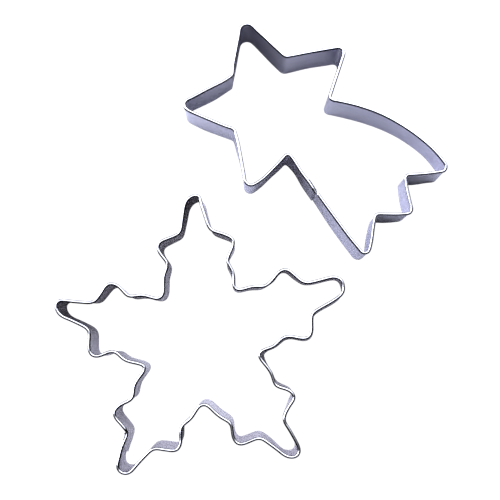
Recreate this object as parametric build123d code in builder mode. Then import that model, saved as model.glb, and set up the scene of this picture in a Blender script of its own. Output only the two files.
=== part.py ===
from build123d import *
from math import radians, tan
import os

# A set of two cookie cutters, a comet and a snowflake. Each is one ribbon of
# stainless steel bent on edge round its outline. The lower edge cuts, the upper
# edge is rolled into a round safety rim, and the two ends lap and are spot welded.
# Millimetres, +Z up, cutting edges on Z = 0, the middle of the set over the origin.

# Steel strip
strip_height = 20.0
strip_thickness = 0.3
rim_diameter = 0.95

# Lap joint of the two ends of a strip
lap_gap = 0.1  # left between the two ends by the welds
joggle_length_share = 0.54  # the outer end steps outwards over this part of the lap
joggle_bend = 3.0
rim_end_gap = 0.2  # from the end of a rim to what it stops at
weld_diameter = 1.8
weld_pitch = 9.0
weld_count = 2

# Room that the pair takes, over the rims
set_width = 116.6
set_depth = 133.9

# Comet: width and depth over its sharp corners
comet_width = 82.0
comet_depth = 73.1

# Comet's lap on the lower wall of the tail: where it starts and how long it is, as
# shares of the wall's straight part, from the star
comet_lap_start_share = 0.257
comet_lap_length_share = 0.123

# Comet corners, anticlockwise from the lower tail tip: shares of its width and
# depth, and how much of the shorter of its two walls the bend there takes up. The
# last one is the star's notch over the lap.
comet_corner_shares = [
    (0.691, 0.000, 0.24),
    (0.724, 0.193, 0.07),
    (0.859, 0.194, 0.16),
    (0.832, 0.351, 0.085),
    (1.000, 0.371, 0.20),
    (0.903, 0.504, 0.74),
    (0.696, 0.637, 0.83),
    (0.558, 0.663, 0.09),
    (0.626, 0.887, 0.19),
    (0.399, 0.839, 0.033),
    (0.243, 1.000, 0.21),
    (0.207, 0.760, 0.031),
    (0.000, 0.640, 0.21),
    (0.208, 0.536, 0.03),
    (0.251, 0.282, 0.21),
    (0.406, 0.445, 0.075),
]

# Snowflake: arms round a middle point, all to one pattern
arm_reach = 42.3  # from the middle to the sharp end of an arm
arm_half_width = 11.14  # at the side bumps
first_arm_angle = 94.4

# Snowflake's lap on the right side of an arm, in the same way, from the arm's root
lapped_arm = 2
snowflake_lap_start_share = 0.06
snowflake_lap_length_share = 0.56

# The notch between two arms lies midway between them: its share of the reach, and
# how much of the shorter of its two walls the bend there takes up
notch_out_share = 0.388
notch_bend_share = 0.34

# One side of an arm, from the notch to the tip: shares of the reach and of the half
# width, and of the shorter wall for the bend there
arm_side_shares = [
    (0.473, 0.872, 0.12),
    (0.561, 0.736, 0.24),
    (0.647, 0.961, 0.095),
    (0.709, 1.000, 0.46),
    (0.767, 0.385, 0.135),
    (1.000, 0.155, 0.42),
]

# The strip is bent by hand, so the arms differ a little: how far the right and the
# left side reach past the neck, their widths, the lean in degrees, and the reach and
# the lean of the notch before the arm
arm_bending_shares = [
    (1.055, 1.005, 1.05, 1.025, -2.1, 1.105, -1.1),
    (1.05, 1.00, 0.95, 1.015, -0.6, 1.02, 0.4),
    (1.035, 1.025, 0.995, 0.96, 0.8, 0.965, 1.65),
    (0.99, 1.03, 0.915, 1.065, -0.75, 1.04, -1.0),
    (1.09, 1.15, 0.96, 0.99, -0.4, 1.02, 4.7),
]

# Sizes that follow from these
rim_radius = rim_diameter / 2
arm_count = len(arm_bending_shares)
lap_pitch = strip_thickness + lap_gap
tongue_height = strip_height - rim_diameter - rim_end_gap


def comet_corners():
    """Sharp corners of the comet, with the bend share of each."""
    return [
        (Vector(comet_width * across, comet_depth * up), share)
        for across, up, share in comet_corner_shares
    ]


def snowflake_corners():
    """Sharp corners of the snowflake, with the bend share of each, anticlockwise from
    the first one past the lap. Each arm adds the notch before it, its right side on
    the way out and its left side on the way back."""
    half_step = 180 / arm_count
    corners = []
    for arm, bending in enumerate(arm_bending_shares):
        right_reach, left_reach, right, left, lean, notch_reach, notch_lean = bending
        axis = first_arm_angle + 2 * arm * half_step
        notch = arm_place(
            notch_out_share * notch_reach, 0, axis - half_step + notch_lean
        )
        corners.append((notch, notch_bend_share))
        corners += arm_side(right_reach, -right, axis + lean)
        corners += arm_side(left_reach, left, axis + lean)[::-1]
    per_arm = len(corners) // arm_count
    past_lap = lapped_arm * per_arm + len(arm_side_shares)
    return corners[past_lap:] + corners[:past_lap]


def arm_side(reach, width_factor, angle):
    """Sharp corners of one side of an arm, with their bend shares, on the way out."""
    neck = arm_side_shares[1][0]
    corners = []
    for out, width, share in arm_side_shares:
        stretch = 1 + (reach - 1) * max(0, out - neck) / (1 - neck)
        corners.append((arm_place(out * stretch, width * width_factor, angle), share))
    return corners


def arm_place(out, width, angle):
    """The place out along an arm and to its left, by shares, for an arm at an angle."""
    return Vector(arm_reach * out, arm_half_width * width).rotate(Axis.Z, angle)


def half_turn_tangent(before, place, after):
    """Tangent of half the turn that the wall takes at a place: a bend takes up that
    many times its radius of the wall on each side."""
    return tan(radians((place - before).get_angle(after - place) / 2))


def bent(corners):
    """The places of a closed outline's corners, with the radius of the bend at each."""
    places = [place for place, share in corners]
    befores = places[-1:] + places[:-1]
    afters = places[1:] + places[:1]
    bends = []
    for before, (place, share), after in zip(befores, corners, afters):
        shorter = min((place - before).length, (after - place).length)
        bends.append((place, share * shorter / half_turn_tangent(before, place, after)))
    return bends


def moved(corners, side, end):
    """The corners, moved so that the finished rim touches a corner of the set: its
    left front one where side and end are -1, its right back one where they are 1."""
    with BuildLine() as outline:
        FilletPolyline(
            *[place for place, bend in corners],
            radius=[bend for place, bend in corners],
            close=True,
        )
    box = outline.line.bounding_box()
    middle = box.center()
    shift = Vector(
        side * (set_width / 2 - rim_radius - box.size.X / 2) - middle.X,
        end * (set_depth / 2 - rim_radius - box.size.Y / 2) - middle.Y,
    )
    return [(place + shift, bend) for place, bend in corners]


class Lap:
    """Where a strip's two ends lap, on the wall from the last corner to the first."""

    def __init__(self, corners, start_share, length_share):
        places = [place for place, bend in corners]
        self.heading = (places[0] - places[-1]).normalized()
        self.outwards = Vector(self.heading.Y, -self.heading.X)
        last_room = corners[-1][1] * half_turn_tangent(places[-2], places[-1], places[0])
        first_room = corners[0][1] * half_turn_tangent(places[-1], places[0], places[1])
        straight = (places[0] - places[-1]).length - last_room - first_room
        self.length = straight * length_share
        start = last_room + straight * start_share
        self.near = places[-1] + self.heading * start
        self.far = self.near + self.heading * self.length

    def outer_end(self, end, inner_end, away):
        """The outer end of the strip and its joggle, as points and their bends: the
        strip runs from end, past the inner one's end, and steps in beyond it."""
        step = self.outwards * lap_pitch
        top = inner_end + away * rim_end_gap
        foot = top + away * self.length * joggle_length_share
        return [(end + step, None), (top + step, joggle_bend), (foot, joggle_bend)]

    def tongue_plane(self, root, away):
        """Plane on the floor at a tongue's root, with its X along the tongue."""
        return Plane(origin=root, x_dir=away, z_dir=(0, 0, 1))

    def weld_plane(self):
        """Plane on the outer face of the inner end, at the middle of the lap."""
        middle = (self.near + self.far) / 2 + self.outwards * strip_thickness / 2
        middle += Vector(0, 0, tongue_height / 2)
        return Plane(origin=middle, x_dir=self.heading, z_dir=self.outwards)


def bent_strip(route, tongue_plane, lap_length):
    """The strip: its wall and rim swept along the route, and the low tongue without
    a rim that runs on from one end, under the rim of the other."""
    with BuildPart() as strip:
        with BuildLine() as middle_line:
            FilletPolyline(
                *[place for place, bend in route],
                radius=[bend for place, bend in route[1:-1]],
            )
        along = middle_line.line % 0
        end_plane = Plane(
            origin=middle_line.line @ 0, x_dir=Vector(-along.Y, along.X), z_dir=along
        )
        with BuildSketch(end_plane):
            Rectangle(
                strip_thickness,
                strip_height - rim_radius,
                align=(Align.CENTER, Align.MIN),
            )
            with Locations((0, strip_height - rim_radius)):
                Circle(rim_radius)
        sweep(path=middle_line.line)
        with BuildSketch(tongue_plane):
            Rectangle(
                lap_length + rim_end_gap,
                strip_thickness,
                align=(Align.MIN, Align.CENTER),
            )
        extrude(amount=tongue_height)
    return strip.part


def spot_welds(weld_plane):
    """The weld nuggets between the two ends, one above the other."""
    with BuildPart() as welds:
        with BuildSketch(weld_plane):
            with GridLocations(weld_diameter, weld_pitch, 1, weld_count):
                Circle(weld_diameter / 2)
        extrude(amount=lap_gap)
    return welds.part


def save(part, name):
    """Labels a finished piece and writes it."""
    part.label = name
    export_step(part, f"parts/{name}.step")


os.makedirs("parts", exist_ok=True)

# Comet: the inner end starts the strip, with its tongue reaching back towards the
# star, and the outer end comes back over the tongue from the star
corners = moved(bent(comet_corners()), 1, 1)
lap = Lap(corners, comet_lap_start_share, comet_lap_length_share)
tongue_root = lap.far + lap.heading * rim_end_gap
outer_end = lap.outer_end(lap.far, lap.near, lap.heading * -1)
route = [(tongue_root, None)] + corners + outer_end[::-1]
tongue_plane = lap.tongue_plane(tongue_root, lap.heading * -1)
save(bent_strip(route, tongue_plane, lap.length), "comet_strip")
save(spot_welds(lap.weld_plane()), "comet_spot_welds")

# Snowflake: the outer end starts the strip at the near end of the lap, and the inner
# end comes back from the root of the arm, with its tongue reaching past inside it
corners = moved(bent(snowflake_corners()), -1, -1)
lap = Lap(corners, snowflake_lap_start_share, snowflake_lap_length_share)
tongue_root = lap.near - lap.heading * rim_end_gap
outer_end = lap.outer_end(lap.near, lap.far, lap.heading)
route = outer_end + corners + [(tongue_root, None)]
tongue_plane = lap.tongue_plane(tongue_root, lap.heading)
save(bent_strip(route, tongue_plane, lap.length), "snowflake_strip")
save(spot_welds(lap.weld_plane()), "snowflake_spot_welds")
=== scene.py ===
"""Looks of two cookie cutters, a comet and a snowflake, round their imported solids.

Each cutter is one ribbon of bright stainless steel on edge. Its lower edge cuts, its
upper edge is curled over into a round safety rim, and its two ends lap and are spot
welded. Everything is in metres, in the frame of the solids.
"""

import logging
import math
from dataclasses import dataclass, replace
from enum import Enum
from typing import Any

import bpy
import numpy as np
from mathutils import Matrix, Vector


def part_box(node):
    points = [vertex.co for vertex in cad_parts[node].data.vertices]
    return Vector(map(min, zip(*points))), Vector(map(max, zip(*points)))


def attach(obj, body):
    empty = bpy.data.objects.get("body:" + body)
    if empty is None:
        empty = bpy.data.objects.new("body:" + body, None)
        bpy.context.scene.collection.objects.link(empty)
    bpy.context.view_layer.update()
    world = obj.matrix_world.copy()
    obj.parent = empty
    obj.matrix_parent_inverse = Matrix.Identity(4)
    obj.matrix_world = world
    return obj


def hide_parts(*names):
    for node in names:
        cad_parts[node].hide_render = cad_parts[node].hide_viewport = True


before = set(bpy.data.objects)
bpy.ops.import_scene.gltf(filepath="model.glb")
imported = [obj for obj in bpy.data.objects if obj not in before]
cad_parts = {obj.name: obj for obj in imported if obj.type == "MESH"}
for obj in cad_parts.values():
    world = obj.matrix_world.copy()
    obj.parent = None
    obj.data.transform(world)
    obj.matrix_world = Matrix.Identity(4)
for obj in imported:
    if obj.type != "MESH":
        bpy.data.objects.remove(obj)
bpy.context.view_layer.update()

MM = 0.001
STRIP_THICKNESS = 0.3 * MM
LAP_GAP = 0.1 * MM
BEND_POINTS = 13
LOG = logging.getLogger("cookie_cutters")

Colour = tuple[float, float, float, float]


class Mark(Enum):
    """What a strip's mesh tells its finish, with the names of the attributes: the
    curled rim, the cutting edge, and painted shade under the rim, a painted shadow
    where the curl meets the wall and a painted dark reflection on the curl's lower
    sides."""

    RIM = "rim"
    EDGE = "edge"
    CREASE = "painted_shade"


# ---- shader maths and node sheets


class Operation(Enum):
    """What Math nodes do, with Blender's names for it."""

    ADD = "ADD"
    SUBTRACT = "SUBTRACT"
    MULTIPLY = "MULTIPLY"


class Wire:
    """A socket of a node sheet, on which arithmetic adds Math nodes."""

    def __init__(self, sheet: "NodeSheet", socket: bpy.types.NodeSocket) -> None:
        """Keeps the socket and the sheet that it belongs to.

        Args:
            sheet: The node sheet that new Math nodes go into.
            socket: The output socket that the wire starts from.
        """
        self.sheet = sheet
        self.socket = socket

    def maths(self, operation: Operation, first: Any, second: Any) -> "Wire":
        """Adds one Math node.

        Args:
            operation: What it does.
            first: A wire or a number.
            second: A wire or a number.

        Returns:
            The node's value.
        """
        settings = {"operation": operation.value}
        inputs = {0: first, 1: second}
        return self.sheet.add("ShaderNodeMath", settings, inputs).out(0)

    def __add__(self, other: Any) -> "Wire":
        """This plus other."""
        return self.maths(Operation.ADD, self, other)

    def __radd__(self, other: Any) -> "Wire":
        """Other plus this."""
        return self.maths(Operation.ADD, other, self)

    def __sub__(self, other: Any) -> "Wire":
        """This less other."""
        return self.maths(Operation.SUBTRACT, self, other)

    def __rsub__(self, other: Any) -> "Wire":
        """Other less this."""
        return self.maths(Operation.SUBTRACT, other, self)

    def __mul__(self, other: Any) -> "Wire":
        """This times other."""
        return self.maths(Operation.MULTIPLY, self, other)

    def __rmul__(self, other: Any) -> "Wire":
        """Other times this."""
        return self.maths(Operation.MULTIPLY, other, self)

    def step(self, low: float, high: float) -> "Wire":
        """A smooth step.

        Args:
            low: Value of this wire where the step starts.
            high: Value of this wire where the step ends.

        Returns:
            The step, 0 at low and 1 at high.
        """
        settings = {"interpolation_type": "SMOOTHSTEP"}
        inputs = {0: self, 1: low, 2: high}
        return self.sheet.add("ShaderNodeMapRange", settings, inputs).out(0)


@dataclass(frozen=True)
class Knot:
    """A node that has been added, with its sheet."""

    sheet: "NodeSheet"
    node: bpy.types.Node

    def out(self, name: str | int) -> Wire:
        """The wire that leaves one of the node's outputs."""
        return Wire(self.sheet, self.node.outputs[name])


class NodeSheet:
    """The node tree of a material or of the world, cleared and ready to fill."""

    def __init__(self, owner: bpy.types.Material | bpy.types.World) -> None:
        """Clears the owner's tree.

        Args:
            owner: Material or world that the nodes belong to.
        """
        owner.use_nodes = True
        self.tree = owner.node_tree
        self.tree.nodes.clear()

    def add(
        self, kind: str, settings: dict | None = None, inputs: dict | None = None
    ) -> Knot:
        """Adds any node.

        Args:
            kind: Blender's type name of the node.
            settings: Its properties, which are set first.
            inputs: Wires or values for its sockets, by name or by place.

        Returns:
            The node.
        """
        node = self.tree.nodes.new(kind)
        for name, value in (settings or {}).items():
            setattr(node, name, value)
        for name, value in (inputs or {}).items():
            if isinstance(value, Wire):
                self.tree.links.new(value.socket, node.inputs[name])
            else:
                node.inputs[name].default_value = value
        return Knot(self, node)

    def mark(self, mark: Mark) -> Wire:
        """The values of a mark that a mesh carries."""
        settings = {"attribute_name": mark.value}
        return self.add("ShaderNodeAttribute", settings).out("Fac")

    def mix(self, factor: Any, first: Any, second: Any) -> Wire:
        """Blends two colours.

        Args:
            factor: 0 for the first colour, 1 for the second.
            first: A colour or a wire of one.
            second: A colour or a wire of one.

        Returns:
            The blended colour.
        """
        inputs = {"Factor": factor, 6: first, 7: second}
        return self.add("ShaderNodeMix", {"data_type": "RGBA"}, inputs).out(2)

    def surface(self, inputs: dict) -> None:
        """Ends a material's sheet with a shader.

        Args:
            inputs: Wires or values for the shader's sockets.
        """
        shader = self.add("ShaderNodeBsdfPrincipled", inputs=inputs).out(0)
        self.add("ShaderNodeOutputMaterial", inputs={"Surface": shader})


@dataclass(frozen=True)
class Grain:
    """Noise with its own scale along each axis."""

    cells_a_metre: tuple[float, float, float]
    octaves: float

    def over(self, sheet: NodeSheet, place: Wire) -> Wire:
        """Adds the noise to a sheet.

        Args:
            sheet: The sheet.
            place: Coordinates in metres.

        Returns:
            The noise, from 0 to 1.
        """
        inputs = {"Vector": place, "Scale": self.cells_a_metre}
        spread = sheet.add("ShaderNodeMapping", inputs=inputs).out(0)
        inputs = {"Vector": spread, "Scale": 1.0, "Detail": self.octaves}
        return sheet.add("ShaderNodeTexNoise", inputs=inputs).out(0)


# ---- finishes


@dataclass(frozen=True)
class BrightStrip:
    """Bright rolled stainless strip: fine rolling lines along it, faint smears and
    handling marks, a smoother rim with painted shade under it (a painted shadow where
    the curl meets the wall and a painted dark reflection on the curl's lower sides),
    and a dull sheared cutting edge."""

    name: str
    face_colour: Colour
    smear_colour: Colour
    painted_shade_colour: Colour
    rim_colour: Colour = (0.90, 0.90, 0.94, 1.0)
    edge_colour: Colour = (0.40, 0.40, 0.48, 1.0)
    grazing_colour: Colour = (0.86, 0.87, 1.0, 1.0)
    face_roughness: float = 0.30
    smear_roughness: float = 0.05
    rim_roughness: float = 0.1
    edge_roughness: float = 0.5
    lines: Grain = Grain((60.0, 4000.0, 1.0), 2.0)
    streaks: Grain = Grain((25.0, 500.0, 1.0), 2.0)
    smears: Grain = Grain((90.0, 120.0, 1.0), 4.0)
    smear_band: tuple[float, float] = (0.42, 0.68)
    smear_share: float = 0.7
    line_depth: float = 0.10
    relief: float = 0.12
    relief_height: float = 0.02 * MM

    def material(self) -> bpy.types.Material:
        """Builds the finish.

        The rolling lines are noise drawn out along the strip by its UV map, in which
        U is metres along the strip and V is metres up it. The strip's marks put the
        colours of the rim, the edge and the painted shade in their places; the painted
        shade darkens the curl's lower sides, the wall just under the rim and the very
        end of the outer ply at the lap.

        Returns:
            The material.
        """
        material = bpy.data.materials.new(self.name)
        sheet = NodeSheet(material)
        along = sheet.add("ShaderNodeUVMap", {"uv_map": "strip"}).out(0)
        rim, edge, painted_shade = (sheet.mark(mark) for mark in Mark)
        lines = self.lines.over(sheet, along)
        streaks = self.streaks.over(sheet, along)
        smear = self.smears.over(sheet, along).step(*self.smear_band)
        blend = smear * self.smear_share + streaks * (1 - self.smear_share)
        face = sheet.mix(blend, self.face_colour, self.smear_colour)
        colour = sheet.mix(rim, face, self.rim_colour)
        colour = sheet.mix(edge, colour, self.edge_colour)
        # Painted shade: a dark colour standing in for the shadow where the curl meets
        # the wall, the dark room mirrored by the curl's lower sides, and the shadow in
        # the lap's gap.
        colour = sheet.mix(painted_shade, colour, self.painted_shade_colour)
        grain = (lines - 0.5) * self.line_depth + (streaks - 0.5) * self.line_depth
        rough = grain + smear * self.smear_roughness + self.face_roughness
        rough = rough * (1 - rim) + rim * self.rim_roughness
        rough = rough * (1 - edge) + edge * self.edge_roughness
        inputs = {
            "Strength": self.relief,
            "Distance": self.relief_height,
            "Height": streaks,
        }
        sheet.surface(
            {
                "Base Color": colour,
                "Metallic": 1.0,
                "Roughness": rough,
                "Specular Tint": self.grazing_colour,
                "Normal": sheet.add("ShaderNodeBump", inputs=inputs).out(0),
            }
        )
        return material


@dataclass(frozen=True)
class WeldMetal:
    """Dull metal of a spot weld, mottled by the heat."""

    name: str = "weld_metal"
    colour: Colour = (0.32, 0.32, 0.36, 1.0)
    heat_colour: Colour = (0.42, 0.36, 0.30, 1.0)
    mottle: Grain = Grain((1500.0, 1500.0, 1500.0), 3.0)
    heat_band: tuple[float, float] = (0.4, 0.7)
    roughness: float = 0.35
    mottle_roughness: float = 0.3

    def material(self) -> bpy.types.Material:
        """Builds the finish on Object coordinates.

        Returns:
            The material.
        """
        material = bpy.data.materials.new(self.name)
        sheet = NodeSheet(material)
        place = sheet.add("ShaderNodeTexCoord").out("Object")
        mottle = self.mottle.over(sheet, place)
        heat = mottle.step(*self.heat_band)
        sheet.surface(
            {
                "Base Color": sheet.mix(heat, self.colour, self.heat_colour),
                "Metallic": 1.0,
                "Roughness": mottle * self.mottle_roughness + self.roughness,
            }
        )
        return material


@dataclass(frozen=True)
class WhiteSheet:
    """Plain white, scattering some light and giving some of its own."""

    name: str
    glow: float
    albedo: float

    def material(self) -> bpy.types.Material:
        """Builds the finish.

        Returns:
            The material.
        """
        material = bpy.data.materials.new(self.name)
        NodeSheet(material).surface(
            {
                "Base Color": (self.albedo, self.albedo, self.albedo, 1.0),
                "Roughness": 1.0,
                "Specular IOR Level": 0.0,
                "Emission Color": (1.0, 1.0, 1.0, 1.0),
                "Emission Strength": self.glow,
            }
        )
        return material


def placed(name: str, data: bpy.types.ID) -> bpy.types.Object:
    """Puts a new object into the scene.

    Args:
        name: The object's name.
        data: Its mesh, light or camera.

    Returns:
        The object.
    """
    thing = bpy.data.objects.new(name, data)
    bpy.context.scene.collection.objects.link(thing)
    return thing


# ---- outlines


def lengths(rows: np.ndarray) -> np.ndarray:
    """Length of each row of x and y."""
    return np.hypot(*rows.T)


def ring(points: np.ndarray) -> tuple[np.ndarray, np.ndarray]:
    """A closed path with its first point once more at its end.

    Args:
        points: (n, 2).

    Returns:
        Metres walked to each point, (n + 1,), and the points, (n + 1, 2).
    """
    closed = np.concatenate([points, points[:1]])
    steps = lengths(np.diff(closed, axis=0))
    return np.concatenate([[0], np.cumsum(steps)]), closed


def sampled(metres: np.ndarray, walked: np.ndarray, points: np.ndarray) -> np.ndarray:
    """Points of a path on straight lines between those that are known.

    Args:
        metres: Where along the path, (n,).
        walked: Metres walked to each known point, (m,).
        points: The known points, (m, 2).

    Returns:
        The points, (n, 2).
    """
    return np.column_stack([np.interp(metres, walked, line) for line in points.T])


def bent_path(corners: np.ndarray, radii: np.ndarray) -> np.ndarray:
    """Points round a closed run of walls and bends. Each bend is an arc that touches
    both of its walls.

    Args:
        corners: Sharp corners, (n, 2).
        radii: Bend radius at each.

    Returns:
        The points, (m, 2), some to each bend, with the walls as the steps between.
    """
    before = np.roll(corners, 1, axis=0) - corners
    after = np.roll(corners, -1, axis=0) - corners
    back = before / lengths(before)[:, None]
    onward = after / lengths(after)[:, None]
    half = np.arccos(np.clip((back * onward).sum(axis=1), -1, 1)) / 2
    inward = (back + onward) / lengths(back + onward)[:, None]
    middle = corners + inward * (radii / np.sin(half))[:, None]
    first = corners + back * (radii / np.tan(half))[:, None] - middle
    last = corners + onward * (radii / np.tan(half))[:, None] - middle
    start = np.arctan2(first[:, 1], first[:, 0])
    sweep = np.arctan2(last[:, 1], last[:, 0]) - start
    sweep = (sweep + np.pi) % (2 * np.pi) - np.pi
    angles = start[:, None] + sweep[:, None] * np.linspace(0, 1, BEND_POINTS)
    arcs = np.stack([np.cos(angles), np.sin(angles)], axis=2) * radii[:, None, None]
    return (middle[:, None] + arcs).reshape(-1, 2)


def eased(path: np.ndarray, width: float) -> np.ndarray:
    """A closed path with its bends spread out but kept in place: twice the path
    smoothed once, less the path smoothed twice.

    Args:
        path: Evenly spaced points, (m, 2).
        width: Standard deviation of the smoothing, in steps.

    Returns:
        The eased path, (m, 2).
    """
    smooth = bell_filter(len(path), width)[:, None]
    spread = np.fft.rfft(path, axis=0) * (2 * smooth - smooth**2)
    return np.fft.irfft(spread, len(path), axis=0)


def bell_filter(count: int, width: float) -> np.ndarray:
    """What smoothing round a ring by a bell curve leaves of each wave.

    Args:
        count: Points round the ring.
        width: Standard deviation of the bell curve, in steps between points.

    Returns:
        The share left of each wave: e to the power of minus twice the square of pi
        times the width times the waves in a step.
    """
    return np.exp(-2 * (np.pi * width * np.fft.rfftfreq(count)) ** 2)


@dataclass(frozen=True)
class Pull:
    """A place where a path is pulled aside, fading away on a bell curve either side.
    Its place is a share of the way round from the lap."""

    share: float
    along_x: float
    along_y: float
    width: float

    def shift(self, share: np.ndarray, length: float) -> np.ndarray:
        """How far each place of a path is moved: the pull, times e to the power of
        minus half the square of the distance from it over its width.

        Args:
            share: The places, as shares of the way round from the lap, (n,).
            length: Length of the path in metres.

        Returns:
            Metres along x and y, (n, 2).
        """
        away = (share - self.share + 0.5) % 1 - 0.5
        fade = np.exp(-((away * length / self.width) ** 2) / 2)
        return fade[:, None] * (self.along_x, self.along_y)


@dataclass(frozen=True)
class Outline:
    """A closed outline of a strip's middle line, seen from above, anticlockwise, with
    the lap on the wall from the last corner to the first."""

    corners: np.ndarray
    bend_shares: np.ndarray
    lap_start_share: float
    lap_length_share: float
    easing: float
    pulls: tuple[Pull, ...] = ()
    step: float = 0.25 * MM

    def walls(self) -> tuple[np.ndarray, np.ndarray]:
        """The walls that lead to each corner and away from it, as vectors."""
        away = np.roll(self.corners, -1, axis=0) - self.corners
        return np.roll(away, 1, axis=0), away

    def half_turn_tangents(self) -> np.ndarray:
        """Tangent of half the turn at each corner.

        Returns:
            The tangents, (n,).
        """
        before, after = (np.arctan2(wall[:, 1], wall[:, 0]) for wall in self.walls())
        turn = (after - before + np.pi) % (2 * np.pi) - np.pi
        return np.tan(np.abs(turn) / 2)

    def radii(self) -> np.ndarray:
        """The bend radius at each corner: its share of the shorter of the two walls
        that meet there, over the tangent of half the turn.

        Returns:
            The radii in metres, (n,).
        """
        shorter = np.minimum(*(lengths(wall) for wall in self.walls()))
        return self.bend_shares * shorter / self.half_turn_tangents()

    def heading(self) -> np.ndarray:
        """Direction of the lapped wall, from the last corner to the first."""
        wall = self.corners[0] - self.corners[-1]
        return wall / lengths(wall)

    def lap(self) -> tuple[float, float]:
        """Where the lap starts and ends on its wall's straight part.

        Returns:
            Metres from the last corner to its start and to its end.
        """
        rooms = self.radii() * self.half_turn_tangents()
        wall = lengths(self.corners[0] - self.corners[-1])
        straight = wall - rooms[-1] - rooms[0]
        start = rooms[-1] + straight * self.lap_start_share
        return float(start), float(start + straight * self.lap_length_share)

    def lap_place(self, path: np.ndarray) -> int:
        """Which point of a path is the nearest to the lap's start.

        Args:
            path: Points, (m, 2).

        Returns:
            The point's number.
        """
        near = self.corners[-1] + self.heading() * self.lap()[0]
        return int(np.argmin(lengths(path - near)))

    def loop(self) -> np.ndarray:
        """The closed path of walls and bends in even steps, with each change of
        direction eased in as a hand bends it, and then with its pulls.

        Returns:
            The points, (m, 2).
        """
        walked, rough = ring(bent_path(self.corners, self.radii()))
        count = round(walked[-1] / self.step)
        share = np.arange(count) / count
        path = sampled(share * walked[-1], walked, rough)
        path = eased(path, self.easing / self.step)
        share = share - self.lap_place(path) / count
        for pull in self.pulls:
            path = path + pull.shift(share, walked[-1])
        return path

    def fitted(self, low: np.ndarray, high: np.ndarray) -> "Outline":
        """The same outline, moved to the middle of a box.

        Args:
            low: Lowest corner of the box.
            high: Highest corner of the box.

        Returns:
            The moved outline.
        """
        path = bent_path(self.corners, self.radii())
        middle = (path.min(axis=0) + path.max(axis=0)) / 2
        return replace(self, corners=self.corners + (low + high) / 2 - middle)


# ---- the strip


def smooth_step(low: float, high: float, value: np.ndarray) -> np.ndarray:
    """A smooth step: three times the square of the share of the way from low to high,
    less twice its cube.

    Args:
        low: Value where the step starts.
        high: Value where it ends, which may be the lower of the two.
        value: The values.

    Returns:
        The step at each value, 0 at low and 1 at high.
    """
    share = np.clip((value - low) / (high - low), 0, 1)
    return share * share * (3 - 2 * share)


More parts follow.
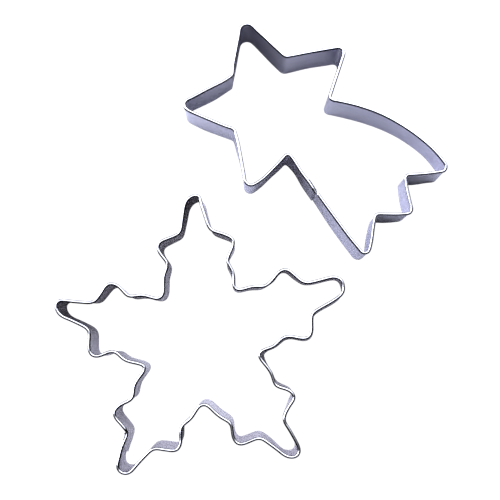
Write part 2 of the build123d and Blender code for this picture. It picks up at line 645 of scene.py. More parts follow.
@dataclass(frozen=True)
class Section:
    """Cross-section of the strip: a wall with its top curled over into a round rim.

    The middle of the sheet rises straight, leans inwards on a smooth cubic until it is
    over the inner side of the rim, and then goes round the rim's middle on an arc over
    the top and down the outer side until its lip nearly meets the wall. At the cutting
    edge it is thinned to edge_land, and half the lip is lip_half_share of the sheet.

    The painted shade mark, a painted shadow where the curl meets the wall and a painted
    dark reflection on the curl's lower sides, fades in and out over two bands of height
    from the rim's middle, and bead_band, from lean_start, is where the wall passes over
    into the rim.
    """

    height: float = 20.0 * MM
    thickness: float = STRIP_THICKNESS
    rim_radius: float = 0.475 * MM
    lean_start: float = 18.55 * MM
    lip_angle: float = -70.0
    lip_half_share: float = 0.36
    edge_land: float = 0.11 * MM
    edge_height: float = 0.1 * MM
    wall_millimetres: tuple[float, ...] = (
        0.0, 0.06, 0.3, 1.2, 3.0, 5.5, 8.5, 11.5, 14.5, 16.8, 18.2,
    )
    lean_points: int = 8
    arc_points: int = 23
    rim_mark_rate: float = 1.6
    # Painted shade bands, measured from the rim's middle: full from 0.3 mm above it to
    # 0.7 mm below it, and gone at 0.42 mm above and at 1.5 mm below.
    painted_shade_upper: tuple[float, float] = (0.42 * MM, 0.30 * MM)
    painted_shade_lower: tuple[float, float] = (-1.5 * MM, -0.7 * MM)
    bead_band: tuple[float, float] = (-0.6 * MM, 0.5 * MM)

    @property
    def rim_middle(self) -> float:
        """Height of the rim's middle."""
        return self.height - self.rim_radius

    def sheet(self) -> tuple[np.ndarray, np.ndarray]:
        """The middle of the sheet, from the cutting edge to the lip.

        Returns:
            Distance outwards and height of each point, (n,).
        """
        curl = self.rim_radius - self.thickness / 2
        wall = np.array(self.wall_millimetres) * MM
        rise = np.linspace(0, 1, self.lean_points)
        lean = rise**2 * (3 - 2 * rise)
        arc = np.radians(np.linspace(180, self.lip_angle, self.arc_points + 1))[1:]
        out = np.concatenate([np.zeros_like(wall), -curl * lean, curl * np.cos(arc)])
        leaning = self.lean_start + (self.rim_middle - self.lean_start) * rise
        up = np.concatenate([wall, leaning, self.rim_middle + curl * np.sin(arc)])
        return out, up

    def points(self) -> tuple[np.ndarray, np.ndarray]:
        """The closed section, up the outer face, over the rim and down the inner face:
        the middle of the sheet moved to each side, at right angles to its run, by half
        of its thickness. At the cutting edge and the lip it is thinner.

        Returns:
            Distance outwards and height of each point, (2 n,).
        """
        middle = np.column_stack(self.sheet())
        run = np.gradient(middle, axis=0)
        half = np.full(len(middle), self.thickness / 2)
        half[0] = self.edge_land / 2
        half[-1] = self.thickness * self.lip_half_share
        normal = np.column_stack([run[:, 1], -run[:, 0]]) / lengths(run)[:, None]
        aside = normal * half[:, None]
        out, up = np.concatenate([middle + aside, (middle - aside)[::-1]]).T
        return out, up

    def marks(self) -> dict[Mark, np.ndarray]:
        """What the finish needs to know of each point of the closed section.

        Returns:
            Each mark's values from 0 to 1, (2 n,).
        """
        up = self.sheet()[1]
        risen = (up - self.lean_start) / (self.rim_middle - self.lean_start)
        rim = np.clip(risen * self.rim_mark_rate, 0, 1)
        rim[-self.arc_points :] = 1
        edge = np.where(up < self.edge_height, 1.0, 0.0)
        drop = self.points()[1] - self.rim_middle
        return {
            Mark.RIM: np.concatenate([rim, rim[::-1]]),
            Mark.EDGE: np.concatenate([edge, edge[::-1]]),
            # Painted shade over the curl's lower sides and the top of the wall under
            # the rim.
            Mark.CREASE: smooth_step(*self.painted_shade_upper, drop)
            * smooth_step(*self.painted_shade_lower, drop),
        }

    def bead(self, up: np.ndarray) -> np.ndarray:
        """How far a height belongs to the rim rather than to the wall, from 0 to 1."""
        low, high = (self.lean_start + reach for reach in self.bead_band)
        return smooth_step(low, high, up)


class Ply(Enum):
    """The two plies of a lap, with how far each stands out."""

    INNER = 0.0
    OUTER = STRIP_THICKNESS + LAP_GAP


@dataclass(frozen=True)
class StripEnd:
    """One end of a strip at its lap. Its places along the strip are metres from the
    lap's start at the first end, and from once round at the last.

    top and foot are where the rim and the cutting edge stop. An outer end stands out
    as far back as wall_hold, at the rim as far as rim_hold, and then steps in over the
    joggle. crushed is how far from the end the rim stays pressed flatter by
    crush_share, and lower by sink_share, and bead_shift moves it outwards there. All
    that fades out over crush_fade, and a slanted end's slant over slant_reach.
    """

    top: float
    foot: float
    ply: Ply
    crushed: float
    crush_share: float
    bead_shift: float
    wall_hold: float = 0.0
    rim_hold: float = 0.0
    joggle: float = 1.0 * MM
    crush_fade: float = 1.2 * MM
    sink_share: float = 0.12
    slant_reach: float = 5 * MM

    def shift(self, gone: np.ndarray, bead: np.ndarray) -> np.ndarray:
        """How far the end stands out.

        Args:
            gone: Metres from the end, (n, 1).
            bead: Share of the rim in each point of the section, (m,).

        Returns:
            Metres outwards, (n, m).
        """
        wall, rim = (
            1 - smooth_step(hold, hold + self.joggle, gone)
            for hold in (self.wall_hold, self.rim_hold)
        )
        return self.ply.value * (wall * (1 - bead) + rim * bead)

    def flat(self, gone: np.ndarray) -> np.ndarray:
        """How much of the end's pressing the rim has this far from it, from 0 to 1."""
        return 1 - smooth_step(self.crushed, self.crushed + self.crush_fade, gone)

    def slant(self, gone: np.ndarray, depth: np.ndarray) -> np.ndarray:
        """How far the section is carried along, more and more from the rim down, so
        that the end is cut on a slant.

        Args:
            gone: Metres from the end, (n, 1).
            depth: Each point's place, 0 at the top and 1 at the foot, (m,).

        Returns:
            Metres along the strip, (n, m).
        """
        fade = 1 - smooth_step(0.0, self.slant_reach, gone)
        return (self.foot - self.top) * depth * fade


@dataclass(frozen=True)
class Bending:
    """How far a hand bent strip lies outwards of its outline, in hundredths of a
    millimetre at even steps round it from the lap's start."""

    hundredths: tuple[int, ...]
    fine_steps: int = 1200
    easing: float = 0.45

    def at(self, share: np.ndarray) -> np.ndarray:
        """The bending at places round the strip: straight lines between the table's
        values, smoothed by a bell curve of not quite half a step.

        Args:
            share: The places, where 1 is once round, (n,).

        Returns:
            Metres outwards, (n,).
        """
        count, steps = len(self.hundredths), self.fine_steps
        table = (*self.hundredths, self.hundredths[0])
        fine = np.interp(np.arange(steps) / steps * count, np.arange(count + 1), table)
        smooth = bell_filter(steps, self.easing * steps / count)
        fine = np.fft.irfft(np.fft.rfft(fine) * smooth, steps)
        fine = np.append(fine, fine[0])
        return np.interp(share % 1 * steps, np.arange(steps + 1), fine) * 0.01 * MM


@dataclass(frozen=True)
class Strip:
    """One cutter's strip, carried round its outline.

    A station is a place along the strip. The section is moved outwards and inwards,
    flattened and slanted from station to station to form the lap.
    painted_gap_shadow_band is how far from the outer end the painted shadow of its gap
    fades, and held_reach is how far to each side a station that is moved back into the
    solid's box takes others with it.
    """

    piece: str
    node: str
    body: str
    outline: Outline
    first_end: StripEnd
    last_end: StripEnd
    rim_bending: Bending
    foot_bending: Bending
    section: Section = Section()
    station_step: float = 0.45 * MM
    # Painted shadow of the lap's gap: full up to 0.2 mm from the outer end, gone by 0.7
    # mm.
    painted_gap_shadow_band: tuple[float, float] = (0.2 * MM, 0.7 * MM)
    held_reach: float = 3 * MM
    sharp_angle: float = 38.0
    chart_gap: float = 0.03

    def build(self, finish: bpy.types.Material) -> bpy.types.Object:
        """Makes the strip and hands it to the frame in place of its solid.

        Args:
            finish: The strip's material.

        Returns:
            The finished piece.
        """
        stations, places, share = self.stations()
        offset, run, climb = self.forming(stations, share)
        along = np.gradient(places, axis=0)
        along /= lengths(along)[:, None]
        outward = np.column_stack([along[:, 1], -along[:, 0]])
        spots = places[:, None] + outward[:, None] * offset[..., None]
        spots = spots + along[:, None] * run[..., None]
        spots = self.held_in(spots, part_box(self.node))
        mesh = self.mesh(np.concatenate([spots, climb[..., None]], axis=2), stations)
        mesh.materials.append(finish)
        piece = placed(self.piece, mesh)
        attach(piece, self.body)
        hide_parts(self.node)
        return piece

    def stations(self) -> tuple[np.ndarray, np.ndarray, np.ndarray]:
        """Places along the strip, from its first end right round and on to its last.

        Returns:
            Metres from the lap's start, (n,), places, (n, 2), and shares of the way
            round, (n,).
        """
        path = self.outline.loop()
        walked, path = ring(np.roll(path, -self.outline.lap_place(path), axis=0))
        begin, finish = self.first_end.top, walked[-1] + self.last_end.top
        count = math.ceil((finish - begin) / self.station_step) + 1
        stations = np.linspace(begin, finish, count)
        inside = stations % walked[-1]
        share = np.interp(inside, walked, np.linspace(0, 1, len(walked)))
        return stations, sampled(inside, walked, path), share

    def ends(self, stations: np.ndarray) -> tuple[tuple[StripEnd, np.ndarray], ...]:
        """Both ends, each with every station's distance from it."""
        gone = stations - stations[0], stations[-1] - stations
        return (self.first_end, gone[0]), (self.last_end, gone[1])

    def forming(
        self, stations: np.ndarray, share: np.ndarray
    ) -> tuple[np.ndarray, np.ndarray, np.ndarray]:
        """Where each point of the section lies at each station.

        Near each end the rim is pressed flatter and lower, and rim and wall are moved
        outwards, all by smooth steps. The hand bending moves the whole strip.

        Args:
            stations: Metres along the strip at each station.
            share: Shares of the way round.

        Returns:
            Metres outwards, along and up, each (stations, section points).
        """
        section = self.section
        out, up = section.points()
        bead, depth = section.bead(up), 1 - up / section.height
        offset, climb = (np.tile(line, (len(stations), 1)) for line in (out, up))
        run = np.zeros_like(offset)
        for end, distance in self.ends(stations):
            gone = distance[:, None]
            flat = end.flat(gone) * bead
            offset = offset * (1 - flat * end.crush_share)
            offset = offset + end.shift(gone, bead) + end.bead_shift * flat
            climb = climb - (climb - section.lean_start) * flat * end.sink_share
            run = run + end.slant(gone, depth)
        return offset + self.bent(share, up), run, climb

    def bent(self, share: np.ndarray, up: np.ndarray) -> np.ndarray:
        """How far the hand bending moves the strip, in even measure from the cutting
        edge up to the rim.

        Args:
            share: Places round the strip, (n,).
            up: Heights, (m,).

        Returns:
            Metres outwards, (n, m).
        """
        tables = self.rim_bending, self.foot_bending
        rim, foot = (table.at(share)[:, None] for table in tables)
        return rim + (foot - rim) * (1 - up / self.section.height)

    def held_in(self, spots: np.ndarray, box: tuple) -> np.ndarray:
        """Moves stations back inside a box. What a station sticks out by is first
        spread each way as a running maximum and then as a running mean, so that the
        strip stays smooth and every station moves far enough.

        Args:
            spots: (stations, section points, 2).
            box: Lowest and highest corner.

        Returns:
            The moved spots.
        """
        low, high = (np.array(corner[:2]) for corner in box)
        over = np.maximum(spots.max(axis=1) - high, 0)
        under = np.maximum(low - spots.min(axis=1), 0)
        return spots - (self.spread(over) - self.spread(under))[:, None]

    def spread(self, excess: np.ndarray) -> np.ndarray:
        """The running mean of the running maximum.

        Args:
            excess: What each station sticks out by, (stations, 2).

        Returns:
            The same, spread, (stations, 2).
        """
        reach = round(self.held_reach / self.station_step)
        padded = np.pad(excess, ((2 * reach, 2 * reach), (0, 0)), mode="edge")
        windows = np.lib.stride_tricks.sliding_window_view
        widest = windows(padded, 2 * reach + 1, axis=0).max(axis=2)
        return windows(widest, 2 * reach + 1, axis=0).mean(axis=2)

    def mesh(self, points: np.ndarray, stations: np.ndarray) -> bpy.types.Mesh:
        """Skins the stations with quads, and closes both ends of the strip with quads
        between the outer and the inner face of the sheet.

        Args:
            points: (stations, section points, 3).
            stations: Metres along the strip at each station.

        Returns:
            The mesh.
        """
        rows, columns = points.shape[:2]
        number = np.arange(rows * columns).reshape(rows, columns)
        onward = np.roll(number, -1, axis=1)
        skin = [number[:-1], onward[:-1], onward[1:], number[1:]]
        sides = np.stack(skin, axis=2).reshape(-1, 4)
        outer = np.arange(columns // 2 - 1)
        inner = columns - 1 - outer
        near = np.column_stack([outer, inner, inner - 1, outer + 1])
        far = near[:, ::-1] + (rows - 1) * columns
        quads = np.concatenate([sides, near, far])
        flat_points = points.reshape(-1, 3)
        mesh = bpy.data.meshes.new(self.piece)
        mesh.from_pydata(flat_points, [], quads.tolist())
        if signed_volume(flat_points, quads) < 0:
            mesh.flip_normals()
        mesh.polygons.foreach_set("use_smooth", np.ones(len(quads), bool))
        self.chart(mesh, stations - stations[0], points[0, :, 2])
        self.mark(mesh, stations)
        mesh.set_sharp_from_angle(angle=math.radians(self.sharp_angle))
        mesh.validate()
        mesh.update()
        return mesh

    def chart(self, mesh: bpy.types.Mesh, metres: np.ndarray, up: np.ndarray) -> None:
        """Writes the UV map: metres along the strip, and metres up it, with the inner
        face set apart from the outer one by a gap.

        Args:
            mesh: The strip's mesh.
            metres: Distance of each station from the strip's first end.
            up: Heights of the first station's points.
        """
        corner = np.empty(len(mesh.loops), np.int32)
        mesh.loops.foreach_get("vertex_index", corner)
        inner = np.arange(len(up)) >= len(up) // 2
        across = np.tile(up + np.where(inner, self.chart_gap, 0.0), len(metres))
        chart = np.column_stack([np.repeat(metres, len(up)), across])[corner]
        layer = mesh.uv_layers.new(name="strip")
        layer.data.foreach_set("uv", chart.astype(np.float32).ravel())

    def mark(self, mesh: bpy.types.Mesh, stations: np.ndarray) -> None:
        """Writes the marks that the finish reads. The painted shade mark is also 1 at
        the
        very end of the outer ply: a painted shadow of the narrow gap beside it.

        Args:
            mesh: The strip's mesh.
            stations: Metres along the strip at each station.
        """
        ends = self.ends(stations)
        gone = next(distance for end, distance in ends if end.ply is Ply.OUTER)
        # Painted shadow of the lap's gap along the outer ply's end.
        painted_gap_shadow = 1 - smooth_step(*self.painted_gap_shadow_band, gone)[:, None]
        for mark, across in self.section.marks().items():
            along = painted_gap_shadow if mark is Mark.CREASE else np.zeros_like(painted_gap_shadow)
            values = np.maximum(across, along).astype(np.float32)
            layer = mesh.attributes.new(mark.value, "FLOAT", "POINT")
            layer.data.foreach_set("value", values.ravel())

    def lapped(self, run: np.ndarray, out: np.ndarray, up: np.ndarray) -> np.ndarray:
        """Points round the middle of the lap, on the strip's wall as it is bent.

        Args:
            run: Metres along the strip from the middle of the lap, (n,).
            out: Metres outwards of the inner ply's middle, (n,).
            up: Heights, (n,).

        Returns:
            The points, (n, 3).
        """
        stations, places, share = self.stations()
        start, end = self.outline.lap()
        middle = np.array([(end - start) / 2])
        place = sampled(middle, stations, places)
        shift = out + self.bent(np.interp(middle, stations, share), up)[0]
        along = self.outline.heading()
        outward = np.array([along[1], -along[0]])
        spots = place + run[:, None] * along + shift[:, None] * outward
        return np.column_stack([spots, up])


@dataclass(frozen=True)
class SpotWelds:
    """The weld nuggets between the two ends of a strip, one above the other: round
    discs on edge that follow the lean of the wall as it is bent."""

    piece: str
    node: str
    body: str
    strip: Strip
    diameter: float = 1.8 * MM
    pitch: float = 9.0 * MM
    middle_height: float = 9.425 * MM
    face_out: float = STRIP_THICKNESS / 2
    gap: float = LAP_GAP
    sides: int = 48

    def build(self, finish: bpy.types.Material) -> bpy.types.Object:
        """Makes both nuggets and hands them to the frame in place of their solids.

        Args:
            finish: The weld metal.

        Returns:
            The finished piece.
        """
        points, faces = self.nuggets()
        mesh = bpy.data.meshes.new(self.piece)
        mesh.from_pydata(points.tolist(), [], faces)
        mesh.materials.append(finish)
        piece = placed(self.piece, mesh)
        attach(piece, self.body)
        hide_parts(self.node)
        return piece

    def nuggets(self) -> tuple[np.ndarray, list[list[int]]]:
        """Points and faces of both nuggets. Round each one, distance along the strip
        is the radius times the cosine of the angle and height is the radius times its
        sine. The inner ring lies on the inner ply and the outer ring a gap away.

        Returns:
            Points, (4 * sides, 3), and faces that point outwards.
        """
        angle = np.arange(self.sides) / self.sides * 2 * np.pi
        run = np.tile(self.diameter / 2 * np.cos(angle), 2)
        rise = np.tile(self.diameter / 2 * np.sin(angle), 2)
        out = np.repeat([self.face_out, self.face_out + self.gap], self.sides)
        middles = self.middle_height + self.pitch / 2 * np.array([-1, 1])
        nuggets = [self.strip.lapped(run, out, middle + rise) for middle in middles]
        near = np.arange(self.sides)
        onward = (near + 1) % self.sides
        far = near + self.sides
        walls = np.column_stack([near, onward, onward + self.sides, far])
        disc = [near[::-1].tolist(), far.tolist(), *walls.tolist()]
        second = [[corner + 2 * self.sides for corner in face] for face in disc]
        return np.concatenate(nuggets), disc + second


def signed_volume(points: np.ndarray, quads: np.ndarray) -> float:
    """Six times the volume inside a closed skin of quads: the sum, over each quad's
    two triangles, of the first corner times the cross product of the other two.

    Args:
        points: (n, 3).
        quads: Four point numbers a row.

    Returns:
        The volume, negative where the faces point inwards.
    """
    first, second, third, fourth = (points[quads[:, k]] for k in range(4))
    crosses = np.cross(second, third) + np.cross(third, fourth)
    return float(np.einsum("ij,ij->", first, crosses))


# ---- the cutters


def fitted_to(node: str, outline: Outline) -> Outline:
    """An outline moved to where a solid stands.

    Args:
        node: Name of the solid.
        outline: The outline, anywhere.

    Returns:
        The outline in place.
    """
    low, high = (np.array(corner[:2]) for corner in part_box(node))
    return outline.fitted(low, high)


@dataclass(frozen=True)
class Cutter:
    """What every cutter has: a strip round an outline, and the welds of its lap."""

    name: str
    lap_start_share: float
    lap_length_share: float
    easing: float
    first_end: StripEnd
    last_end: StripEnd
    steel: BrightStrip
    rim_bending: Bending
    foot_bending: Bending

    def outline(self) -> Outline:
        """The cutter's outline in metres, wherever it falls."""
        raise NotImplementedError

    def strip(self) -> Strip:
        """The cutter's strip, where its solid stands.

        Returns:
            The strip, not yet built.
        """
        return Strip(
            piece=f"{self.name}_cutter_strip",
            node=f"{self.name}_strip",
            body=f"{self.name}_cutter",
            outline=fitted_to(f"{self.name}_strip", self.outline()),
            first_end=self.first_end,
            last_end=self.last_end,
            rim_bending=self.rim_bending,
            foot_bending=self.foot_bending,
        )

    def build_strip(self) -> bpy.types.Object:
        """Makes the strip, in its own steel."""
        return self.strip().build(self.steel.material())

    def build_welds(self, metal: bpy.types.Material) -> bpy.types.Object:
        """Makes the nuggets in the strip's lap.

        Args:
            metal: The weld metal.

        Returns:
            The finished piece.
        """
        welds = SpotWelds(
            piece=f"{self.name}_weld_nuggets",
            node=f"{self.name}_spot_welds",
            body=f"{self.name}_cutter",
            strip=self.strip(),
        )
        return welds.build(metal)


@dataclass(frozen=True)
class Comet(Cutter):
    """The comet. Each corner is a share of the width, a share of the depth, and the
    share of its shorter wall that its bend takes."""

    name: str = "comet"
    width: float = 82.0 * MM
    depth: float = 73.1 * MM
    lap_start_share: float = 0.257
    lap_length_share: float = 0.123
    easing: float = 0.5 * MM
    first_end: StripEnd = StripEnd(
        top=0.0,
        foot=0.3 * MM,
        ply=Ply.INNER,
        crushed=4.0 * MM,
        crush_share=0.75,
        bead_shift=-0.2 * MM,
    )
    last_end: StripEnd = StripEnd(
        top=4.3 * MM,
        foot=4.3 * MM,
        ply=Ply.OUTER,
        wall_hold=4.5 * MM,
        rim_hold=4.5 * MM,
        joggle=7.0 * MM,
        crushed=0.4 * MM,
        crush_share=0.0,
        bead_shift=0.0,
    )
    steel: BrightStrip = BrightStrip(
        name="comet_bright_strip",
        face_colour=(0.66, 0.645, 0.72, 1.0),
        smear_colour=(0.58, 0.57, 0.66, 1.0),
        # Painted shade under the rim and in the lap's gap.
        painted_shade_colour=(0.16, 0.16, 0.18, 1.0),
    )
    corner_shares: tuple[tuple[float, float, float], ...] = (
        (0.691, 0.000, 0.24),
        (0.724, 0.193, 0.07),
        (0.859, 0.194, 0.16),
        (0.832, 0.351, 0.085),
        (1.000, 0.371, 0.20),
        (0.903, 0.504, 0.74),
        (0.696, 0.637, 0.83),
        (0.558, 0.663, 0.09),
        (0.626, 0.887, 0.19),
        (0.399, 0.839, 0.033),
        (0.243, 1.000, 0.21),
        (0.207, 0.760, 0.031),
        (0.000, 0.640, 0.21),
        (0.208, 0.536, 0.03),
        (0.251, 0.282, 0.21),
        (0.406, 0.445, 0.075),
    )
    rim_bending: Bending = Bending((
        -27, -8, 16, 16, 15, 15, 15, 11, 1, -27, 7, 26, 2, -14, 9, 14, 23, 1, -23, -29,
        -37, -7, 13, 19, 20, 6, 2, 3, -3, -7, -8, -8, -7, -1, 0, -2, -12, -11, -18, -16,
        -5, -15, -15, -15, -18, -21, -16, -10, -8, -8, -14, -9, -13, -6, 5, 21, 64, 37,
        34, 37, 42, 49, -1, -37, -24, -25, -32, -40, 8, 22, 14, 9, 6, -10, -60, -75,
        -72, -68, -66, -59, 31, 88, 74, 61, 42, -6, 8, 8,
    ))
    foot_bending: Bending = Bending((
        -4, -1, 9, 27, 44, 56, 58, 58, 55, 47, 59, 39, 18, 40, 54, 78, 70, 31, -5, -21,
        -1, 35, 72, 90, 61, 69, 87, 90, 88, 78, 63, 53, 38, 15, -8, -32, -48, -62, -66,
        -58, -45, -45, -45, -45, -48, -51, -51, -38, -26, -34, -57, -67, -64, -47, -23,
        23, 36, 36, 44, 39, 45, 57, 60, 16, -20, -16, -8, 2, 15, 44, 55, 40, 18, -1,
        -18, -45, -75, -80, -74, -38, 25, 58, 41, 46, 53, 13, -34, -19,
    ))

    def outline(self) -> Outline:
        """The outline in metres, from its box's lowest corner.

        Returns:
            The outline.
        """
        x, y, bend = np.array(self.corner_shares).T
        corners = np.column_stack([x * self.width, y * self.depth])
        laps = self.lap_start_share, self.lap_length_share
        return Outline(corners, bend, *laps, self.easing)


@dataclass(frozen=True)
class Arm:
    """How one arm differs from the pattern: reach and width of its right and left
    side, its lean in degrees, and the reach and lean of the notch before it."""

    right_reach: float
    left_reach: float
    right_width: float
    left_width: float
    lean: float
    notch_reach: float
    notch_lean: float


@dataclass(frozen=True)
class Snowflake(Cutter):
    """The snowflake: arms to one pattern, each a little differently bent. Each corner
    of an arm's side is a share of the reach, a share of the half width, and the share
    of its shorter wall that its bend takes."""

    name: str = "snowflake"
    arm_reach: float = 42.3 * MM
    arm_half_width: float = 11.14 * MM
    first_arm_angle: float = 94.4
    lapped_arm: int = 2
    lap_start_share: float = 0.06
    lap_length_share: float = 0.56
    notch_out_share: float = 0.388
    notch_bend_share: float = 0.34
    easing: float = 1.2 * MM
    pulls: tuple[Pull, ...] = (Pull(0.4325, -1.75 * MM, -0.45 * MM, 3.3 * MM),)
    first_end: StripEnd = StripEnd(
        top=-1.7 * MM,
        foot=-1.7 * MM,
        ply=Ply.OUTER,
        wall_hold=8.1 * MM,
        rim_hold=1.9 * MM,
        joggle=2.6 * MM,
        crushed=4.2 * MM,
        crush_share=0.6,
        bead_shift=0.1 * MM,
    )
    last_end: StripEnd = StripEnd(
        top=3.2 * MM,
        foot=6.2 * MM,
        ply=Ply.INNER,
        crushed=5.0 * MM,
        crush_share=0.15,
        bead_shift=-0.1 * MM,
    )
    steel: BrightStrip = BrightStrip(
        name="snowflake_bright_strip",
        face_colour=(0.66, 0.625, 0.63, 1.0),
        smear_colour=(0.585, 0.555, 0.58, 1.0),
        # Painted shade under the rim and in the lap's gap, darker than the comet's.
        painted_shade_colour=(0.05, 0.05, 0.06, 1.0),
    )
    side_shares: tuple[tuple[float, float, float], ...] = (
        (0.473, 0.872, 0.12),
        (0.561, 0.736, 0.24),
        (0.647, 0.961, 0.095),
        (0.709, 1.000, 0.46),
        (0.767, 0.385, 0.135),
        (1.000, 0.155, 0.42),
    )
    arms: tuple[Arm, ...] = (
        Arm(1.055, 1.005, 1.05, 1.025, -2.1, 1.105, -1.1),
        Arm(1.05, 1.00, 0.95, 1.015, -0.6, 1.02, 0.4),
        Arm(1.035, 1.025, 0.995, 0.96, 0.8, 0.965, 1.65),
        Arm(0.99, 1.03, 0.915, 1.065, -0.75, 1.04, -1.0),
        Arm(1.09, 1.15, 0.96, 0.99, -0.4, 1.02, 4.7),
    )
    rim_bending: Bending = Bending((
        56, 73, 77, 65, 49, 38, 30, 24, 16, 6, -5, -14, -19, -19, -11, 4, 15, 13, 3, -7,
        -13, -15, -14, -15, -16, -17, -20, -24, -28, -27, -20, -6, 8, 18, 24, 27, 26,
        19, 12, 9, 9, 13, 16, 16, 11, 3, -7, -14, -20, -23, -23, -18, -5, 18, 43, 62,
        70, 66, 55, 44, 26, -4, -36, -57, -63, -52, -31, -5, 17, 27, 32, 34, 35, 32, 27,
        23, 7, 1, 5, 3, -18, -29, -32, -37, -47, -62, -67, -51, -24, -2, 10, 11, 8, 9,
        13, 17, 21, 36, 45, 49, 42, 22, -20, -46, -44, 21, 78, 79, 73, 63, 53, 49, 56,
        70, 47, 40, 33, 29, 13, -21, -53, -59, -37, 3, 32, 28, 9, -2, 2, 21, 41, 52, 55,
        54, 43, 18, -13, -37, -49, -47, -34, -16, -3, -3, -13, -29, -42, -49, -56, -66,
        -72, -63, -34, 13, 54, 69, 66, 55, 43, 31, 21, 12, 5, 1, -1, -2, -1, 4, 8, 6, 0,
        -5, -10, -14, -17, -19, -17, -8, 5, 19, 29, 33, 31, 27, 27, 32, 36, 29, 15, -3,
        -16, -19, -19, -19, -19, -16, -10, 0, 10, 20, 29, 38, 37, 21, 0, -16, -26, -33,
        -31, -17, 5, 26, 35, 26, 5, -17, -29, -25, -8, 11, 27, 34, 34, 34, 38, 47, 56,
        57, 55, 53, 48, 39, 28, 19, 17, 24, 34, 35, 29, 19, 17, 33,
    ))
    foot_bending: Bending = Bending((
        -1, -6, -7, -3, 2, 4, 3, -1, -4, -5, -6, -6, -7, -11, -17, -26, -37, -50, -59,
        -60, -52, -39, -25, -17, -15, -14, -16, -20, -26, -35, -45, -53, -56, -53, -45,
        -38, -33, -30, -29, -29, -28, -26, -24, -23, -26, -37, -51, -60, -60, -48, -29,
        -9, 8, 21, 28, 30, 29, 26, 24, 23, 23, 23, 33, 11, -31, -66, -43, 42, 44, 60,
        99, 118, 99, 66, 60, 67, 99, 162, 173, 176, 75, 68, 80, 91, 81, 26, -15, 5, 60,
        159, 172, 177, 170, 171, 148, 124, 121, 135, 150, 159, 160, 147, 95, 52, 60, 57,
        59, 59, 52, 44, 38, 45, 74, 108, 102, 68, 56, 60, 30, -49, -94, -83, -20, 14, 7,
        3, 1, 0, 0, 0, 0, 0, -1, -5, -10, -18, -24, -27, -26, -21, -14, -4, 6, 15, 21,
        23, 22, 22, 22, 22, 22, 22, 26, 35, 42, 40, 34, 30, 29, 31, 33, 31, 24, 8, -11,
        -25, -32, -29, -21, -12, -9, -17, -32, -48, -57, -52, -38, -22, -9, -1, 4, 8,
        10, 8, 3, 0, -4, -8, -11, -8, -2, 8, 16, 20, 22, 22, 22, 22, 23, 25, 27, 28, 23,
        10, -7, -23, -33, -36, -33, -25, -15, -6, 1, 4, 6, 7, 7, 7, 6, 5, 2, -1, 0, 10,
        23, 34, 37, 33, 29, 32, 38, 39, 35, 29, 24, 19, 16, 12, 10, 10, 9, 5,
    ))

    def outline(self) -> Outline:
        """The outline in metres, round its own middle point: a notch, the right side of
        an arm on the way out and its left side on the way back, for each arm in turn.

        Returns:
            The outline, with the lap's wall as its last.
        """
        half_step = 180 / len(self.arms)
        rows = []
        for number, arm in enumerate(self.arms):
            axis = self.first_arm_angle + 2 * number * half_step
            notch = np.array([[self.notch_out_share * arm.notch_reach, 0.0]])
            spot = self.turned(notch, axis - half_step + arm.notch_lean)
            right = self.side(arm.right_reach, -arm.right_width, axis + arm.lean)
            left = self.side(arm.left_reach, arm.left_width, axis + arm.lean)
            rows += [[[*spot[0], self.notch_bend_share]], right, left[::-1]]
        table = np.concatenate(rows)
        per_arm = len(table) // len(self.arms)
        past_lap = self.lapped_arm * per_arm + len(self.side_shares)
        table = np.roll(table, -past_lap, axis=0)
        laps = self.lap_start_share, self.lap_length_share
        return Outline(table[:, :2], table[:, 2], *laps, self.easing, self.pulls)

    def side(self, reach: float, width: float, angle: float) -> np.ndarray:
        """Corners of one side of an arm, on the way out. Its neck is the second.

        Args:
            reach: How far the side reaches past the neck, 1 for the pattern's own.
            width: Its width, 1 for the pattern's own, negative for the right side.
            angle: The arm's direction in degrees.

        Returns:
            Rows of x, y and bend share.
        """
        out, across, bend = np.array(self.side_shares).T
        neck = out[1]
        stretch = 1 + (reach - 1) * np.maximum(0, out - neck) / (1 - neck)
        spots = np.column_stack([out * stretch, across * width])
        return np.column_stack([self.turned(spots, angle), bend])

    def turned(self, shares: np.ndarray, angle: float) -> np.ndarray:
        """Points out along an arm and to its left.

        Args:
            shares: Shares of the arm's reach and half width, (n, 2).
            angle: The arm's direction in degrees.

        Returns:
            The points in metres, (n, 2).
        """
        turn = math.radians(angle)
        along = np.array([math.cos(turn), math.sin(turn)]) * self.arm_reach
        left = np.array([-math.sin(turn), math.cos(turn)]) * self.arm_half_width
        return shares @ np.array([along, left])


# ---- the scene


def compass(around: float, height: float) -> tuple[float, float, float]:
    """A direction from the cutters.

    Args:
        around: Degrees from +X towards +Y.
        height: Degrees above the floor.

    Returns:
        The direction, 1 long.
    """
    turn, rise = math.radians(around), math.radians(height)
    level = math.cos(rise)
    return level * math.cos(turn), level * math.sin(turn), math.sin(rise)


@dataclass(frozen=True)
class SoftBox:
    """A square soft light that faces the cutters. around and height are its direction
    from them in degrees, and far and width are in metres."""

    name: str
    around: float
    height: float
    far: float
    width: float
    watts: float

    def build(self, colour: tuple[float, float, float]) -> None:
        """Sets the light up.

        Args:
            colour: Colour of its light.
        """
        lamp = bpy.data.lights.new(self.name, "AREA")
        lamp.shape = "SQUARE"
        lamp.size = self.width
        lamp.energy = self.watts
        lamp.color = colour
        holder = placed(self.name, lamp)
        way = compass(self.around, self.height)
        holder.location = [self.far * part for part in way]
        holder.rotation_mode = "QUATERNION"
        holder.rotation_quaternion = (-holder.location).to_track_quat("-Z", "Y")


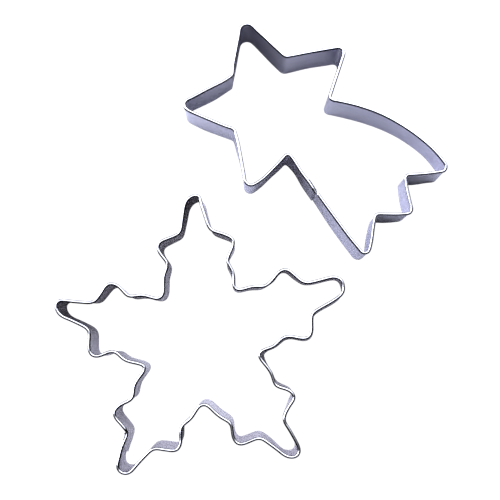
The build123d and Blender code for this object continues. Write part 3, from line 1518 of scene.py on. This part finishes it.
@dataclass(frozen=True)
class Studio:
    """Floor, room, soft lights and camera. The screen is a broad pale part of the
    room, behind and over the cutters."""

    floor_size: float = 3.0
    floor_drop: float = 0.3 * MM
    floor_white: WhiteSheet = WhiteSheet("floor_white", 1.05, 0.1)
    paper_drop: float = 0.1 * MM
    paper_white: WhiteSheet = WhiteSheet("paper_white", 0.02, 0.85)
    camera_place: tuple[float, float, float] = (-0.00303, -0.02552, 0.35053)
    camera_right: tuple[float, float, float] = (0.999979, -0.000575, 0.006525)
    camera_up: tuple[float, float, float] = (0.000097, 0.997336, 0.072945)
    camera_back: tuple[float, float, float] = (-0.006549, -0.072943, 0.997315)
    camera_view: float = 25.08
    camera_clip: tuple[float, float] = (0.01, 20.0)
    sensor_width: float = 36.0
    light_colour: tuple[float, float, float] = (0.86, 0.89, 1.0)
    screen_around: float = 105.0
    screen_height: float = 28.0
    screen_reach: float = 61.0
    screen_softness: float = 14.0
    screen_glow: float = 1.0
    room_glow: float = 0.004
    boxes: tuple[SoftBox, ...] = (
        SoftBox("left_box", around=158.0, height=34.0, far=1.0, width=0.9, watts=12.4),
        SoftBox("back_box", around=77.0, height=52.0, far=1.0, width=0.9, watts=5.8),
        SoftBox("right_box", around=45.0, height=28.0, far=0.6, width=0.5, watts=0.8),
    )

    def build(self) -> None:
        """Makes everything round the cutters."""
        self.floors()
        self.world()
        for box in self.boxes:
            box.build(self.light_colour)
        self.camera()
        scene = bpy.context.scene
        scene.view_settings.view_transform = "Standard"
        scene.view_settings.look = "None"

    def floors(self) -> None:
        """A white floor for the camera, and just over it a paper floor that only the
        steel mirrors and that takes the cutters' shadows."""
        floor = self.plane("floor", -self.floor_drop, self.floor_white.material())
        floor.visible_glossy = False
        floor.visible_diffuse = False
        floor.visible_shadow = False
        paper = self.plane("paper", -self.paper_drop, self.paper_white.material())
        paper.visible_camera = False
        paper.visible_shadow = False

    def plane(
        self, name: str, height: float, finish: bpy.types.Material
    ) -> bpy.types.Object:
        """A square sheet that isn't part of the object.

        Args:
            name: Name of the sheet.
            height: Its height in metres.
            finish: Its material.

        Returns:
            The sheet.
        """
        reach = self.floor_size / 2
        signs = (-1, -1), (1, -1), (1, 1), (-1, 1)
        corners = [(x * reach, y * reach, height) for x, y in signs]
        mesh = bpy.data.meshes.new(name)
        mesh.from_pydata(corners, [], [(0, 1, 2, 3)])
        mesh.materials.append(finish)
        sheet = placed(name, mesh)
        return sheet

    def world(self) -> None:
        """A dim room with the screen in it: a smooth step over the cosine of the angle
        from the screen's middle."""
        world = bpy.data.worlds.new("room")
        bpy.context.scene.world = world
        sheet = NodeSheet(world)
        way = sheet.add("ShaderNodeTexCoord").out("Generated")
        settings = {"operation": "DOT_PRODUCT"}
        inputs = {0: way, 1: compass(self.screen_around, self.screen_height)}
        towards = sheet.add("ShaderNodeVectorMath", settings, inputs).out("Value")
        reach, soft = self.screen_reach, self.screen_softness
        edges = (math.cos(math.radians(edge)) for edge in (reach + soft, reach - soft))
        screen = towards.step(*edges)
        glow = screen * self.screen_glow + self.room_glow
        inputs = {"Color": (*self.light_colour, 1.0), "Strength": glow}
        light = sheet.add("ShaderNodeBackground", inputs=inputs).out(0)
        sheet.add("ShaderNodeOutputWorld", inputs={"Surface": light})

    def camera(self) -> None:
        """The camera, where the cutters' outlines say that it stood."""
        lens = bpy.data.cameras.new("camera")
        lens.sensor_fit = "HORIZONTAL"
        lens.sensor_width = self.sensor_width
        lens.lens = self.sensor_width / 2 / math.tan(math.radians(self.camera_view) / 2)
        lens.clip_start, lens.clip_end = self.camera_clip
        holder = placed("camera", lens)
        axes = self.camera_right, self.camera_up, self.camera_back
        turn = Matrix(axes).transposed().to_4x4()
        holder.matrix_world = Matrix.Translation(self.camera_place) @ turn
        bpy.context.scene.camera = holder


def report(piece: bpy.types.Object) -> None:
    """Logs a piece that has been made."""
    LOG.info("%s: %d faces", piece.name, len(piece.data.polygons))


def main() -> None:
    """Builds the cutters and the studio, and reports each piece."""
    logging.basicConfig(level=logging.INFO, format="%(name)s: %(message)s")
    cutters = Comet(), Snowflake()
    for cutter in cutters:
        report(cutter.build_strip())
    metal = WeldMetal().material()
    for cutter in cutters:
        report(cutter.build_welds(metal))
    Studio().build()


if __name__ == "__main__":
    main()
